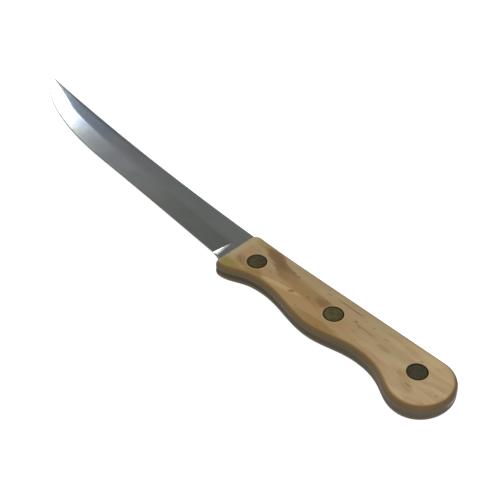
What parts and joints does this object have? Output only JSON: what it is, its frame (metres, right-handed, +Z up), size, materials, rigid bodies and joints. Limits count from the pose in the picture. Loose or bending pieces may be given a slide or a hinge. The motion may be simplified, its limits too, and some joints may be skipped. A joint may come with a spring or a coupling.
{
  "type": "boning knife",
  "caption": "Narrow upswept hollow-ground boning knife with a full tang riveted between two flat wooden scales shaped for the fingers.",
  "frame": {"origin": "middle of the knife's footprint, on the surface that its right scale rests on", "axes": "+X from the handle towards the tip, +Y from the spine towards the cutting edge, +Z up through the thickness from the right scale to the left scale"},
  "size_m": [0.2644, 0.0412, 0.0078],
  "materials": {
    "blade_steel": "satin ground carbon steel, darkened with use",
    "handle_wood": "worn light brown hardwood with fine dark pores and a thin oil finish",
    "rivet_brass": "dark aged brass, ground flush with the wood"
  },
  "bodies": {
    "root": {"blade": "blade_steel", "left_scale": "handle_wood", "right_scale": "handle_wood", "front_rivet_female": "rivet_brass", "front_rivet_male": "rivet_brass", "middle_rivet_female": "rivet_brass", "middle_rivet_male": "rivet_brass", "rear_rivet_female": "rivet_brass", "rear_rivet_male": "rivet_brass"}
  },
  "joints": []
}
